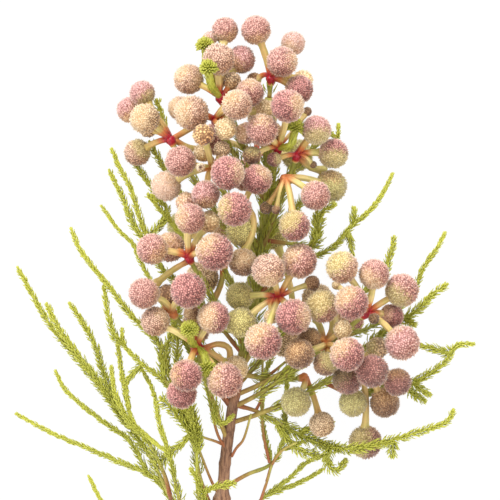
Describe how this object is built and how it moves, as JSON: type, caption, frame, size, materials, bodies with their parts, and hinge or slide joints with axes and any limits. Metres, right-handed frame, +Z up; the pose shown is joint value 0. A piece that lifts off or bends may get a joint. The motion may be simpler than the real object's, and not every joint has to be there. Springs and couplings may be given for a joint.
{
  "type": "berzelia stem",
  "caption": "Cut stem of berzelia, lying down: a woody branch with umbels of round pink flower heads on tan stalks and feathery side shoots of needle leaves.",
  "frame": {"origin": "the middle of the whole stem's foot print, on the surface that it lies on", "axes": "+Y along the stem from the cut end to the crown, +Z up from the surface that it lies on, +X to the right of the crown seen from above"},
  "size_m": [0.1166, 0.1922, 0.0461],
  "materials": {
    "wood": "dull brown bark with fine cracks along it",
    "heads": "matte mauve-pink florets with pale tips and dark gaps",
    "leaves": "satin yellow-green needle leaves"
  },
  "bodies": {
    "root": {"stem_and_branches": "wood", "umbel_crown_left": "heads", "umbel_crown_middle": "heads", "umbel_crown_right": "heads", "umbel_upper_middle": "heads", "umbel_upper_right": "heads", "umbel_right_shoulder": "heads", "umbel_upper_far_left": "heads", "umbel_upper_left": "heads", "umbel_centre": "heads", "umbel_left": "heads", "umbel_far_left": "heads", "umbel_lower_left": "heads", "umbel_lower_middle": "heads", "umbel_far_right": "heads", "umbel_lower_right": "heads", "umbel_low_edge": "heads", "umbel_bottom": "heads", "umbel_back_upper": "heads", "umbel_back_left": "heads", "umbel_back_right": "heads", "shoot_left_long": "leaves", "shoot_left_middle": "leaves", "shoot_left_low": "leaves", "shoot_left_thin": "leaves", "shoot_left_wedge": "leaves", "shoot_left_fork": "leaves", "shoot_left_upper": "leaves", "shoot_left_foot": "leaves", "shoot_far_left_behind": "leaves", "shoot_far_left_thin": "leaves", "shoot_stem_curl": "leaves", "shoot_middle_curl": "leaves", "shoot_low_right_long": "leaves", "shoot_low_right_thin": "leaves", "shoot_twig_middle": "leaves", "shoot_right_upper": "leaves", "shoot_right_shoulder": "leaves", "shoot_right_tip": "leaves", "shoot_far_right_short": "leaves", "shoot_far_right_upper": "leaves", "shoot_far_right_thick": "leaves", "shoot_right_edge": "leaves"}
  },
  "joints": []
}
